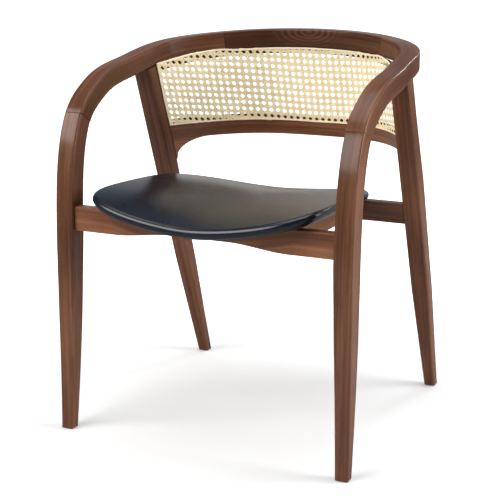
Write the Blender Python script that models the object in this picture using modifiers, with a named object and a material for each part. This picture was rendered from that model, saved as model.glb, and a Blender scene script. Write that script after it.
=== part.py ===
"""Armchair with a bent wooden ring for arms and back, a woven cane back and a saddle seat in leather.

Metres, +Z up. The chair faces -Y and its left side is at -X, as seen by someone who looks at it
from the front. Lengths along Y are counted from the front faces of the front legs, and an empty
then moves the whole chair so that the origin lies on the floor under the middle of its outline.
"""
import math

import bmesh
import bpy
import numpy as np
from mathutils import Vector

# Fits
gap = 0.0003                    # clearance between pieces that touch
overrun = 0.004                 # how far a cutter runs past the face that it opens
merge_distance = 0.00005
sharp_angle = math.radians(42)  # edges sharper than this show as edges

# Ring of arms and crest
ring_half_width = 0.2733        # middle of the bar, at the arms
ring_back = 0.5125              # middle of the bar, at the crest
ring_top = 0.7247               # top of the crest
bar_width = 0.0354              # across the bar, seen from above
bar_height = 0.0362
joint_height = 0.585            # middle of the joint between leg and arm
joint_reach = 0.0634            # the same, back from the front faces
joint_bar_height = 0.0379
joint_slope = math.radians(59)  # of the bar at that joint
ring_x_shares = (0.997, 1.0, 0.9912, 0.9246, 0.5708, 0.0)
ring_y_shares = (0.0, 0.1372, 0.4155, 0.6938, 0.9203, 1.0)
ring_rise_shares = (0.0, 0.3947, 0.6563, 0.8396, 0.9523, 1.0)
crest_half_length = 0.170       # from the middle to the joint with an arm
ring_stations = 37
edge_radius = 0.0035

# Front legs
front_inner = 0.2542            # inner face, at the rail
front_outer = 0.2902
front_foot_inner = 0.2660
front_foot_depth = 0.021
front_leg_bow = 0.0255          # how far back the middle line swings on its way up
front_leg_bow_height = 0.33
front_leg_bend = 0.110          # length over which the leg turns into the arm
front_taper_top = 0.375
front_height_shares = (0.0, 0.15, 0.39, 0.60, 0.85, 1.0)
front_depth_shares = (0.0, 0.37, 0.93, 1.11, 1.05, 1.0)
front_stations = 21

# Rear legs
rear_inner = 0.2480
rear_outer = 0.2832
rear_foot_inner = 0.2545
rear_foot_outer = 0.2762
rear_foot_front = 0.5259
rear_foot_depth = 0.0221
rear_knee_depth = 0.0385         # where the rear rail and the lower back rail meet the leg
rear_lean = math.radians(20.8)
rear_taper_top = 0.230
rear_height_shares = (0.0, 0.14, 0.47, 0.72, 0.79, 0.9, 1.0)
rear_depth_shares = (0.0, 0.085, 0.48, 0.91, 1.0, 0.8, 0.63)
rear_stations = 12

# Floor glides
glide_radius = 0.0075
glide_height = 0.0015
glide_stem_radius = 0.0022
glide_stem_length = 0.012

# Seat: the outline and saddle follow the middle of the roll at its edge
seat_half_width = 0.2125
seat_front = -0.0227
seat_back_clearance = 0.0027    # between the roll and the rear rail's top
seat_front_square = 5.27        # exponent of the outline: 2 is an ellipse
seat_back_square = 3.81
seat_taper_share = 0.0187       # wider in front, narrower behind
seat_height = 0.4191            # saddle surface in the middle of the seat
seat_side_rise = 0.0288
seat_side_power = 1.73
seat_front_side_rise = 0.0098   # more of it in front, and as much less behind
seat_back_rise = 0.0019
seat_end_fall = 0.0043
seat_spokes = 40
seat_corner_share = 0.5         # how much the spokes crowd round the corners
seat_share_rings = (0.0, 0.25, 0.5, 0.72, 0.88, 1.0)
edge_roll = 0.0095              # radius of the roll
roll_steps = 5
cover_thickness = 0.0014
crown_height = 0.0150
crown_power = 2.4
shell_drop = 0.0114             # the shell's lower rim, below the saddle surface
shell_thickness = 0.0075

# Front rail
front_rail_setback = 0.0150
front_rail_thickness = 0.0220
front_rail_rise = 0.0097         # its top, above the seat height
front_rail_drop = 0.0351         # its underside, below the seat height
front_rail_arch = 0.0099
front_rail_arch_near = 0.055     # from here out the arch comes down
front_rail_arch_far = 0.170      # and from here out the underside is level
rail_stations = 19

# Rear rail
rear_rail_top_drop = 0.0066
rear_rail_drop = 0.0491
rear_rail_setback = 0.0010
rear_rail_thickness = 0.0220

# Seat bearers, from rail to rail under the sides of the seat
bearer_outer_share = 0.7765      # of the seat's half width
bearer_thickness = 0.0200
bearer_rise = 0.0109             # its top, above the seat height
bearer_end_drop = 0.0085         # its top at the rear rail, below the seat height
bearer_slope_length = 0.0800
bearer_drop = 0.0321

# Lower back rail and the back surface, which leans more at its ends than in its middle
back_end_y = 0.3595             # at the legs, at the height of the cane's lower edge
back_mid_y = 0.5401
back_edge_height = 0.5322       # lower edge of the cane
back_end_slope = 0.41
back_mid_slope = 0.29
back_square = 3.2
lower_rail_height = 0.0300
lower_rail_thickness = 0.0220
lower_rail_end_drop = 0.0430
lower_rail_end_reach = 0.0450
back_stations = 31

# Cane panel, its wooden edging behind and its reed edging in front
cane_thickness = 0.0018
cane_columns = 32
cane_rows = 8
cane_strand = 0.0084            # width of a strand between two holes
back_clearance = 0.0007         # between the back's filling and the curved ring above it
edging_width = 0.0120
edging_depth = 0.0100
reed_width = 0.0050
reed_thickness = 0.0016

# Dowels and screws
dowel_radius = 0.0040
dowel_length = 0.0360
small_dowel_radius = 0.0030
small_dowel_length = 0.0240
dowel_sides = 12
front_dowel_spread = 0.0180
rear_dowel_spread = 0.0170
screw_radius = 0.0020
screw_head_radius = 0.0042
screw_head_height = 0.0026
screw_bite = 0.0050             # depth of thread in the seat shell
screw_head_depth = 0.0060       # how deep the head sits in the rail
front_screw_share = 0.4235       # of the seat's half width
rear_screw_share = 0.6430        # of the seat's half depth
bearer_dowel_rise = 0.0100       # above the bearer's underside

# Derived sizes
rear_slope = math.tan(rear_lean)
rear_rail_top = seat_height - rear_rail_top_drop
rear_rail_front = rear_foot_front - rear_slope * rear_rail_top + rear_rail_setback
seat_back = rear_rail_front - seat_back_clearance - edge_roll
seat_middle_y = (seat_front + seat_back) / 2
seat_reach = seat_front - edge_roll
shell_edge = cover_thickness + gap
seat_half_depth = (seat_back - seat_front) / 2
front_rail_top = seat_height + front_rail_rise
front_rail_bottom = seat_height - front_rail_drop
rear_rail_bottom = seat_height - rear_rail_drop
bearer_outer = seat_half_width * bearer_outer_share
bearer_top = seat_height + bearer_rise
bearer_end_top = seat_height - bearer_end_drop
bearer_bottom = seat_height - bearer_drop
front_screw_half = seat_half_width * front_screw_share
rear_screw_y = seat_middle_y + seat_half_depth * rear_screw_share
crest_height = ring_top - bar_height / 2
back_reach = back_mid_y + back_mid_slope * lower_rail_height + lower_rail_thickness
chair_middle_y = (back_reach + seat_reach) / 2

# Finishes: colour, roughness, metallic
walnut_stain = ((0.135, 0.052, 0.028), 0.42, 0.0)
pale_cane = ((0.72, 0.55, 0.33), 0.60, 0.0)
pale_reed = ((0.78, 0.64, 0.44), 0.55, 0.0)
black_leather = ((0.012, 0.015, 0.022), 0.38, 0.0)
cream_foam = ((0.80, 0.74, 0.55), 0.95, 0.0)
beech_dowel = ((0.62, 0.44, 0.27), 0.65, 0.0)
zinc_steel = ((0.62, 0.60, 0.55), 0.35, 1.0)
dark_nylon = ((0.03, 0.03, 0.03), 0.55, 0.0)


def clear_scene():
    for thing in list(bpy.data.objects):
        bpy.data.objects.remove(thing, do_unlink=True)


def new_collection(name):
    collection = bpy.data.collections.new(name)
    bpy.context.scene.collection.children.link(collection)
    return collection


clear_scene()
parts = new_collection("cane_back_armchair")
cutters = new_collection("cutters")
chair_origin = bpy.data.objects.new("chair_origin", None)
chair_origin.location = (0.0, -chair_middle_y, 0.0)
parts.objects.link(chair_origin)


def finish_material(name, finish):
    colour, roughness, metallic = finish
    material = bpy.data.materials.new(name + "_finish")
    material.use_nodes = True
    shader = material.node_tree.nodes["Principled BSDF"]
    shader.inputs["Base Color"].default_value = (*colour, 1.0)
    shader.inputs["Roughness"].default_value = roughness
    shader.inputs["Metallic"].default_value = metallic
    return material


def adopt(thing, finish):
    """Move a new object into the chair's collection, under the chair's origin, with its finish."""
    for collection in list(thing.users_collection):
        collection.objects.unlink(thing)
    parts.objects.link(thing)
    thing.parent = chair_origin
    thing.data.materials.clear()
    thing.data.materials.append(finish_material(thing.name, finish))
    return thing


def mesh_object(name, mesh_data, finish):
    mesh = bpy.data.meshes.new(name)
    mesh_data.to_mesh(mesh)
    mesh_data.free()
    thing = bpy.data.objects.new(name, mesh)
    return adopt(thing, finish)


def add_bevel(thing, width, segments=2):
    bevel = thing.modifiers.new("rounded_edges", "BEVEL")
    bevel.width = width
    bevel.segments = segments
    bevel.limit_method = "WEIGHT"
    bevel.use_clamp_overlap = True


def loft(name, rings, finish, radius=0.0, long_edges=None):
    """A closed bar through rings of points, with its long edges rounded to the radius."""
    data = bmesh.new()
    weights = data.edges.layers.float.new("bevel_weight_edge")
    rows = [[data.verts.new(point) for point in ring] for ring in rings]
    count = len(rings[0])
    rounded = range(count) if long_edges is None else long_edges
    for low, high in zip(rows, rows[1:]):
        for i in range(count):
            j = (i + 1) % count
            data.faces.new((low[i], low[j], high[j], high[i]))
    data.faces.new(list(reversed(rows[0])))
    data.faces.new(rows[-1])
    bmesh.ops.recalc_face_normals(data, faces=data.faces)
    if radius > 0:
        for low, high in zip(rows, rows[1:]):
            for i in rounded:
                data.edges.get((low[i], high[i]))[weights] = 1.0
    thing = mesh_object(name, data, finish)
    if radius > 0:
        add_bevel(thing, radius)
    thing.data.set_sharp_from_angle(angle=sharp_angle)
    return thing


def mirrored(point):
    return (-point[0], point[1], point[2])


def both_sides(name, rings, finish, radius=0.0):
    """The same bar at +X and at -X; ring order is turned at -X so that the faces still point out."""
    right = loft(name + "_right", rings, finish, radius)
    left_rings = [[mirrored(point) for point in ring] for ring in rings]
    left = loft(name + "_left", left_rings, finish, radius)
    return left, right


def cylinder(name, low, high, radius, corners):
    """A closed cylinder between two points, as a plain object of no collection yet."""
    low = Vector(low)
    high = Vector(high)
    bpy.ops.mesh.primitive_cylinder_add(vertices=corners, radius=radius, depth=(high - low).length)
    thing = bpy.context.object
    thing.name = name
    thing.location = (low + high) / 2
    thing.rotation_euler = (high - low).to_track_quat("Z", "Y").to_euler()
    return thing


def as_cutter(thing):
    for collection in list(thing.users_collection):
        collection.objects.unlink(thing)
    cutters.objects.link(thing)
    thing.parent = chair_origin
    thing.hide_render = True
    thing.display_type = "WIRE"
    return thing


def cut_with(host_name, cutter):
    cut = bpy.data.objects[host_name].modifiers.new(cutter.name, "BOOLEAN")
    cut.operation = "DIFFERENCE"
    cut.solver = "EXACT"
    cut.object = cutter


def cut_bore(host_name, name, low, high, radius):
    """Cut a round hole between two points out of a named piece."""
    cut_with(host_name, as_cutter(cylinder(name, low, high, radius, dowel_sides)))


# Smooth curve through points
def smooth_path(points, start, end, count):
    """Points at even steps along a cubic curve through the given points, and their directions."""
    knots = [Vector(point) for point in points]
    spans = [(b - a).length for a, b in zip(knots, knots[1:])]
    slopes = [Vector(start)]
    for i in range(1, len(knots) - 1):
        before = (knots[i] - knots[i - 1]) / spans[i - 1]
        after = (knots[i + 1] - knots[i]) / spans[i]
        slopes.append((before * spans[i] + after * spans[i - 1]) / (spans[i] + spans[i - 1]))
    slopes.append(Vector(end))
    fine = []
    steps = 40
    for i, span in enumerate(spans):
        for k in range(steps):
            t = k / steps
            h00 = 2 * t**3 - 3 * t**2 + 1
            h10 = t**3 - 2 * t**2 + t
            h01 = -2 * t**3 + 3 * t**2
            h11 = t**3 - t**2
            place = knots[i] * h00 + slopes[i] * (h10 * span)
            place = place + knots[i + 1] * h01 + slopes[i + 1] * (h11 * span)
            fine.append(place)
    fine.append(knots[-1])
    array = np.array([tuple(point) for point in fine])
    lengths = np.concatenate(([0.0], np.cumsum(np.linalg.norm(np.diff(array, axis=0), axis=1))))
    even = np.linspace(0.0, lengths[-1], count)
    path = np.stack([np.interp(even, lengths, array[:, axis]) for axis in range(3)], axis=1)
    directions = np.gradient(path, axis=0)
    directions /= np.linalg.norm(directions, axis=1)[:, None]
    directions[0] = np.array(start) / np.linalg.norm(start)
    directions[-1] = np.array(end) / np.linalg.norm(end)
    return path, directions, even


def ring_points():
    points = []
    for x_share, y_share, rise_share in zip(ring_x_shares, ring_y_shares, ring_rise_shares):
        x = ring_half_width * x_share
        y = joint_reach + (ring_back - joint_reach) * y_share
        z = joint_height + (crest_height - joint_height) * rise_share
        points.append((x, y, z))
    return points


joint_direction = (0.0, math.cos(joint_slope), math.sin(joint_slope))
crest_direction = (-1.0, 0.0, 0.0)
ring_path, ring_directions, ring_lengths = smooth_path(
    ring_points(), joint_direction, crest_direction, ring_stations
)


def ring_frame(index):
    """Outward and upward directions of the bar's section at a station of the ring."""
    along = Vector(ring_directions[index])
    outward = Vector((along.y, -along.x, 0.0)).normalized()
    upward = outward.cross(along).normalized()
    if upward.z < 0:
        upward = -upward
    return outward, upward


def ring_height(index):
    """The bar is a little deeper at the joint with the leg."""
    share = math.exp(-((ring_lengths[index] / front_leg_bend) ** 2))
    return bar_height + (joint_bar_height - bar_height) * share


def ring_section(place, index):
    outward, upward = ring_frame(index)
    side = outward * (bar_width / 2)
    rise = upward * (ring_height(index) / 2)
    middle = Vector(place)
    return [middle + side + rise, middle - side + rise, middle - side - rise, middle + side - rise]


def underside(x, y):
    """Height of the ring's underside above a place on the floor, for x at or above zero."""
    best = None
    previous = None
    for i in range(len(ring_path)):
        along = Vector(ring_directions[i])
        _, upward = ring_frame(i)
        base = Vector(ring_path[i]) - upward * (ring_height(i) / 2)
        ahead = (x - base.x) * along.x + (y - base.y) * along.y
        if previous is not None and previous[0] > 0 >= ahead:
            share = previous[0] / (previous[0] - ahead)
            best = previous[1] + (base.z - previous[1]) * share
        previous = (ahead, base.z)
    return best


def build_ring():
    """Two bent arms and the crest between them, with plain butt joints held by dowels."""
    split = int(np.argmax(ring_path[:, 0] < crest_half_length))
    arm = [ring_section(ring_path[0] + ring_directions[0] * gap, 0)]
    arm += [ring_section(ring_path[i], i) for i in range(1, split)]
    joint = ring_path[split]
    arm.append(ring_section(joint - ring_directions[split] * gap, split))
    both_sides("arm", arm, walnut_stain, edge_radius)
    half = [ring_section(joint, split)]
    half += [ring_section(ring_path[i], i) for i in range(split + 1, len(ring_path) - 1)]
    middle = [ring_section(ring_path[-1], len(ring_path) - 1)]
    other = [[mirrored(point) for point in ring] for ring in reversed(half)]
    loft("crest_rail", half + middle + other, walnut_stain, edge_radius)
    return split


def table(shares, values, at):
    return float(np.interp(at, shares, values))


def front_leg_middle(t):
    """Middle line of a front leg: a cubic Bezier curve from the foot to the joint."""
    foot = Vector((0.0, front_foot_depth / 2, glide_height))
    swing = Vector((0.0, front_foot_depth / 2 + front_leg_bow, front_leg_bow_height))
    top = Vector((0.0, joint_reach, joint_height))
    bend = top - Vector(joint_direction) * front_leg_bend
    a, b, c, d = (1 - t) ** 3, 3 * t * (1 - t) ** 2, 3 * t**2 * (1 - t), t**3
    return foot * a + swing * b + bend * c + top * d


def build_front_legs():
    rings = []
    step = 1.0 / front_stations / 4
    for k in range(front_stations + 1):
        t = k / front_stations
        middle = front_leg_middle(t)
        along = (front_leg_middle(min(1.0, t + step)) - front_leg_middle(max(0.0, t - step))).normalized()
        if k == 0:
            along = Vector((0.0, 0.0, 1.0))
        if k == front_stations:
            along = Vector(joint_direction)
            middle = middle - along * gap
        back = Vector((0.0, along.z, -along.y))
        share = table(front_height_shares, front_depth_shares, middle.z / joint_height)
        depth = front_foot_depth + (joint_bar_height - front_foot_depth) * share
        drop = max(0.0, 1.0 - middle.z / front_taper_top)
        inner = front_inner + (front_foot_inner - front_inner) * drop
        inner += (ring_half_width - bar_width / 2 - front_inner) * table(
            (0.0, front_taper_top, joint_height), (0.0, 0.0, 1.0), middle.z
        )
        front = middle - back * (depth / 2)
        rear = middle + back * (depth / 2)
        rings.append(
            [
                (front_outer, front.y, front.z),
                (inner, front.y, front.z),
                (inner, rear.y, rear.z),
                (front_outer, rear.y, rear.z),
            ]
        )
    both_sides("front_leg", rings, walnut_stain, edge_radius)


def rear_front_y(z):
    return rear_foot_front - rear_slope * z


def rear_depth(z):
    share = table(rear_height_shares, rear_depth_shares, z / joint_height)
    return rear_foot_depth + (rear_knee_depth - rear_foot_depth) * share


def rear_back_y(z):
    return rear_front_y(z) + rear_depth(z)


def build_rear_legs():
    """Leaning legs, deepest at their knees, that end against the underside of the arms."""
    rings = []
    for k in range(rear_stations + 1):
        z = glide_height + (joint_height - glide_height) * k / rear_stations
        depth = rear_depth(z)
        drop = max(0.0, 1.0 - z / rear_taper_top)
        inner = rear_inner + (rear_foot_inner - rear_inner) * drop
        outer = rear_outer + (rear_foot_outer - rear_outer) * drop
        front = rear_front_y(z)
        corners = [(outer, front), (inner, front), (inner, front + depth), (outer, front + depth)]
        rings.append([(x, y, z) for x, y in corners])
    top = []
    for x, y, z in rings[-1]:
        height = z
        for _ in range(12):
            height = underside(x, y - rear_slope * (height - z)) - gap
        top.append((x, y - rear_slope * (height - z), height))
    rings.append(top)
    both_sides("rear_leg", rings, walnut_stain, edge_radius)


def outline_shares():
    """Places round the seat, from its front middle on, as shares of its half width and depth."""
    angles = np.linspace(-math.pi / 2, 3 * math.pi / 2, 721)
    c = np.cos(angles)
    s = np.sin(angles)
    power = np.where(s > 0, 2 / seat_back_square, 2 / seat_front_square)
    u = np.sign(c) * np.abs(c) ** power
    v = np.sign(s) * np.abs(s) ** power
    steps = np.hypot(seat_half_width * np.diff(u), seat_half_depth * np.diff(v))
    lengths = np.concatenate(([0.0], np.cumsum(steps)))
    turns = np.linspace(0.0, 1.0, len(angles))
    places = lengths / lengths[-1] * (1 - seat_corner_share) + turns * seat_corner_share
    even = np.arange(seat_spokes) / seat_spokes
    return np.interp(even, places, u), np.interp(even, places, v)


spoke_shares = outline_shares()


def seat_ring(half_width, half_depth):
    """Plan outline of the seat: a squared ellipse, with squarer corners in front."""
    ring = []
    for u, v in zip(*spoke_shares):
        ring.append((float(half_width * u * (1 - seat_taper_share * v)), float(seat_middle_y + half_depth * v)))
    return ring


def saddle(x, y):
    """Height of the saddle surface, which is high at the sides."""
    v = (y - seat_middle_y) / seat_half_depth
    u = abs(x) / (seat_half_width * (1 - seat_taper_share * v))
    rise = (seat_side_rise - seat_front_side_rise * v) * u**seat_side_power
    return seat_height + rise + seat_back_rise * v - seat_end_fall * v**2


def cover_top(share):
    """Top of the leather above the saddle surface, inside the roll."""
    return edge_roll + crown_height * (1 - share**crown_power)


def roll_rings(radius):
    """Half a turn of roll round the seat's edge, from its top to its bottom."""
    rings = []
    for k in range(roll_steps + 1):
        angle = math.pi * k / roll_steps
        rings.append((-radius * math.sin(angle), 1.0, radius * math.cos(angle)))
    return rings


def saddle_mesh(top, bottom):
    """A closed form between two lists of (inset from the outline, share of it, height) rings."""
    data = bmesh.new()
    rows = []
    for inset, share, height in top + list(reversed(bottom)):
        plan = seat_ring((seat_half_width - inset) * share, (seat_half_depth - inset) * share)
        if share == 0.0:
            plan = plan[:1]
        row = []
        for x, y in plan:
            row.append(data.verts.new((x, y, saddle(x, y) + height)))
        rows.append(row)
    for inner, outer in zip(rows, rows[1:]):
        for k in range(seat_spokes):
            n = (k + 1) % seat_spokes
            corners = [inner[k % len(inner)], outer[k % len(outer)]]
            if len(outer) > 1:
                corners.append(outer[n])
            if len(inner) > 1:
                corners.append(inner[n])
            data.faces.new(corners)
    bmesh.ops.recalc_face_normals(data, faces=data.faces)
    bmesh.ops.triangulate(data, faces=data.faces)
    return data


def saddle_body(name, top, bottom, finish):
    thing = mesh_object(name, saddle_mesh(top, bottom), finish)
    thing.data.shade_smooth()
    thing.data.set_sharp_from_angle(angle=sharp_angle)
    return thing


def shell_rings(lift):
    """Rings of the shell's underside, or of a surface that runs a little above or below it."""
    rings = [(0.0, share, lift - shell_drop) for share in seat_share_rings[:-1]]
    rings.append((shell_edge, 1.0, lift - shell_drop))
    return rings


def build_seat():
    """Moulded plywood shell, foam and a leather cover that is open underneath."""
    skin = cover_thickness
    within = seat_share_rings[:-1]
    outer = [(0.0, share, cover_top(share)) for share in within] + roll_rings(edge_roll)
    inner = [(0.0, share, cover_top(share) - skin) for share in within]
    inner += roll_rings(edge_roll - skin)
    inner[-1] = (skin, 1.0, -edge_roll)
    saddle_body("seat_cover", outer, inner, black_leather)
    saddle_body("seat_shell", shell_rings(shell_thickness), shell_rings(0.0), walnut_stain)
    top = [(0.0, share, cover_top(share) - skin - gap) for share in within]
    top.append((shell_edge, 1.0, edge_roll - skin - gap))
    saddle_body("seat_foam", top, shell_rings(shell_thickness + gap), cream_foam)
    relief = shell_rings(-gap)
    relief[-1] = (0.0, 1.0, -shell_drop - gap)
    lid = [(0.0, share, edge_roll + crown_height) for share in seat_share_rings]
    mesh = bpy.data.meshes.new("seat_relief")
    data = saddle_mesh(lid, relief)
    data.to_mesh(mesh)
    data.free()
    as_cutter(bpy.data.objects.new("seat_relief", mesh))


def eased(x, near, far):
    """0 inside the near distance from the middle and 1 outside the far one, with a smooth step."""
    share = min(1.0, max(0.0, (abs(x) - near) / (far - near)))
    return share**2 * (3 - 2 * share)


def front_rail_low(x):
    """The rail's underside: arched in the middle, level at its ends."""
    return front_rail_bottom + front_rail_arch * (1 - eased(x, front_rail_arch_near, front_rail_arch_far))


def build_front_rail():
    """Level above and arched below, and cut above to the seat's shape."""
    rings = []
    near = front_rail_setback
    far = near + front_rail_thickness
    half = front_inner - gap
    for k in range(rail_stations):
        x = half * (2 * k / (rail_stations - 1) - 1)
        low = front_rail_low(x)
        ring = [(x, near, front_rail_top), (x, near, low)]
        rings.append(ring + [(x, far, low), (x, far, front_rail_top)])
    loft("front_rail", rings, walnut_stain, edge_radius / 2)
    cut_with("front_rail", bpy.data.objects["seat_relief"])


def build_rear_rail():
    """Its front and back lean with the rear legs, and its top is level."""
    rings = []
    half = rear_inner - gap
    for x in (-half, half):
        corners = []
        for z, step in ((1, 0), (0, 0), (0, 1), (1, 1)):
            height = rear_rail_top if z else rear_rail_bottom
            y = rear_front_y(height) + rear_rail_setback + rear_rail_thickness * step
            corners.append((x, y, height))
        rings.append(corners)
    loft("rear_rail", rings, walnut_stain, edge_radius / 2)


def bearer_back(z):
    """Where a bearer ends, just in front of the leaning rear rail."""
    return rear_front_y(z) + rear_rail_setback - gap


def build_bearers():
    """A bar under each side of the seat, cut above to the seat's shape and sloped at its rear end."""
    front = front_rail_setback + front_rail_thickness + gap
    slope = bearer_back(bearer_end_top) - bearer_slope_length
    inner = bearer_outer - bearer_thickness
    rings = []
    for low_y, high_y, top in (
        (front, front, bearer_top),
        (slope, slope, bearer_top),
        (bearer_back(bearer_bottom), bearer_back(bearer_end_top), bearer_end_top),
    ):
        ring = [(bearer_outer, high_y, top), (bearer_outer, low_y, bearer_bottom)]
        rings.append(ring + [(inner, low_y, bearer_bottom), (inner, high_y, top)])
    both_sides("seat_bearer", rings, walnut_stain, edge_radius / 2)
    for _, word in sides():
        cut_with("seat_bearer_" + word, bpy.data.objects["seat_relief"])


def back_y(x, z):
    """The front surface of the back: straight up and down, and bent across."""
    rise = z - back_edge_height
    end = back_end_y - back_end_slope * rise
    middle = back_mid_y - back_mid_slope * rise
    return middle + (end - middle) * (abs(x) / rear_inner) ** back_square


def back_turn(x, z):
    """How fast the front surface comes forward towards its end at +X."""
    rise = z - back_edge_height
    end = back_end_y - back_end_slope * rise
    middle = back_mid_y - back_mid_slope * rise
    share = abs(x) / rear_inner
    steepness = (end - middle) * back_square / rear_inner * share ** (back_square - 1)
    return steepness if x > 0 else -steepness


def back_place(x, z, depth):
    """A point at a depth behind the front surface, on a level line square to it."""
    turn = back_turn(x, z)
    run = math.hypot(1.0, turn)
    return Vector((x - turn / run * depth, back_y(x, z) + depth / run, z))


def back_end(z, depth):
    """Where a layer of the back meets the back face of a rear leg."""
    low = rear_inner / 2
    high = rear_outer
    for _ in range(30):
        middle = (low + high) / 2
        if back_place(middle, z, depth).y > rear_back_y(z) + gap:
            low = middle
        else:
            high = middle
    return low


def lower_rail_bottom(x):
    straight = rear_inner - lower_rail_end_reach
    share = max(0.0, (abs(x) - straight) / lower_rail_end_reach)
    drop = lower_rail_end_drop * (1 - math.sqrt(max(0.0, 1 - min(1.0, share) ** 2)))
    return back_edge_height - lower_rail_height - drop


def back_shares(count):
    """Shares of the way across at even steps along the bend."""
    fine = np.linspace(-1.0, 1.0, 401)
    line = np.array([tuple(layer_point(float(share), back_edge_height, 0.0)) for share in fine])
    lengths = np.concatenate(([0.0], np.cumsum(np.linalg.norm(np.diff(line, axis=0), axis=1))))
    return [float(v) for v in np.interp(np.linspace(0.0, lengths[-1], count), lengths, fine)]


def layer_point(share, z, depth):
    """A point of a layer of the back, from one leg at share -1 to the other at share 1."""
    return back_place(back_end(z, depth) * share, z, depth)


def back_bar(name, shares, low, high, near, far, finish, radius=0.0):
    """A bar across the back, between two heights that may vary and between two depths."""
    rings = []
    for share in shares:
        ring = []
        for height, depth in ((high, near), (low, near), (low, far), (high, far)):
            ring.append(layer_point(share, height(share, depth), depth))
        rings.append(ring)
    return loft(name, rings, finish, radius)


def level(height):
    return lambda share, depth: height


def build_lower_rail():
    """Bent like the ring above it, and arched below."""

    def low(share, depth):
        return lower_rail_bottom(share * rear_inner)

    shares = back_shares(back_stations)
    top = level(back_edge_height - gap)
    back_bar("lower_back_rail", shares, low, top, 0.0, lower_rail_thickness, walnut_stain, edge_radius / 2)


def back_top(share, depth):
    """Upper edge of the back's filling, just under the ring."""
    z = crest_height - bar_height / 2
    for _ in range(8):
        place = layer_point(share, z, depth)
        z = underside(abs(place.x), place.y) - back_clearance
    return z


def build_cane():
    """The woven panel as an even grid of strands, cut from one bent sheet."""
    low = back_edge_height + gap
    data = bmesh.new()
    rows = []
    tops = []
    shares = back_shares(cane_columns + 1)
    for share in shares:
        tops.append(min(back_top(share, 0.0), back_top(share, cane_thickness)))
    for r in range(cane_rows + 1):
        row = []
        for share, top in zip(shares, tops):
            z = low + (top - low) * r / cane_rows
            row.append(data.verts.new(layer_point(share, z, 0.0)))
        rows.append(row)
    for below, above in zip(rows, rows[1:]):
        for c in range(cane_columns):
            data.faces.new((below[c], below[c + 1], above[c + 1], above[c]))
    data.normal_update()
    inset = bmesh.ops.inset_individual(data, faces=data.faces[:], thickness=cane_strand / 2)
    strands = set(inset["faces"])
    holes = [face for face in data.faces if face not in strands]
    bmesh.ops.delete(data, geom=holes, context="FACES_ONLY")
    thing = mesh_object("cane_panel", data, pale_cane)
    solid = thing.modifiers.new("thickness", "SOLIDIFY")
    solid.thickness = cane_thickness
    solid.offset = -1.0


def upright_bar(name, side, width, low, high, near, far, finish):
    """A bar up the back face of a rear leg, between two depths."""
    rings = []
    steps = 8
    for k in range(steps + 1):
        z = low + (high - low) * k / steps
        ring = []
        for inward, depth in ((0.0, near), (width, near), (width, far), (0.0, far)):
            end = back_end(z, depth)
            x = end - inward / math.hypot(1.0, back_turn(end, z))
            place = back_place(x, z, depth)
            ring.append((side * place.x, place.y, z))
        rings.append(ring)
    return loft(name, rings, finish)


def build_cane_edging():
    """Wooden strips behind the cane, which carry its border, and reed strips in front of it."""
    build_border("cane_edging", edging_width, cane_thickness + gap, edging_depth, walnut_stain)
    build_border("cane_reed", reed_width, -gap - reed_thickness, reed_thickness, pale_reed)


def build_border(name, width, near, thickness, finish):
    """Four strips round the back's filling."""
    far = near + thickness
    low = back_edge_height + gap
    shares = back_shares(cane_columns + 1)

    def high(share, depth):
        return min(back_top(share, near), back_top(share, far))

    def under(share, depth):
        return high(share, depth) - width

    back_bar(name + "_top", shares, under, high, near, far, finish)
    back_bar(name + "_bottom", shares, level(low), level(low + width), near, far, finish)
    top = min(under(1.0, near), under(1.0 - width / rear_inner, near)) - gap
    for side, word in ((-1, "left"), (1, "right")):
        upright_bar(name + "_" + word, side, width, low + width + gap, top, near, far, finish)


def dowel(name, hosts, middle, along, length, radius):
    """A dowel across a joint, with a bore for it in both pieces."""
    middle = Vector(middle)
    half = Vector(along).normalized() * (length / 2)
    slack = half.normalized() * gap
    pin = cylinder(name, middle - half, middle + half, radius, dowel_sides)
    adopt(pin, beech_dowel)
    pin.data.shade_smooth()
    pin.data.set_sharp_from_angle(angle=sharp_angle)
    for number, host in enumerate(hosts):
        sign = 1 if number else -1
        far = middle + (half + slack) * sign
        near = middle - half.normalized() * (overrun * sign)
        cut_bore(host, name + "_bore_in_" + host, far, near, radius + gap)


def sides():
    return ((-1, "left"), (1, "right"))


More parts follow.
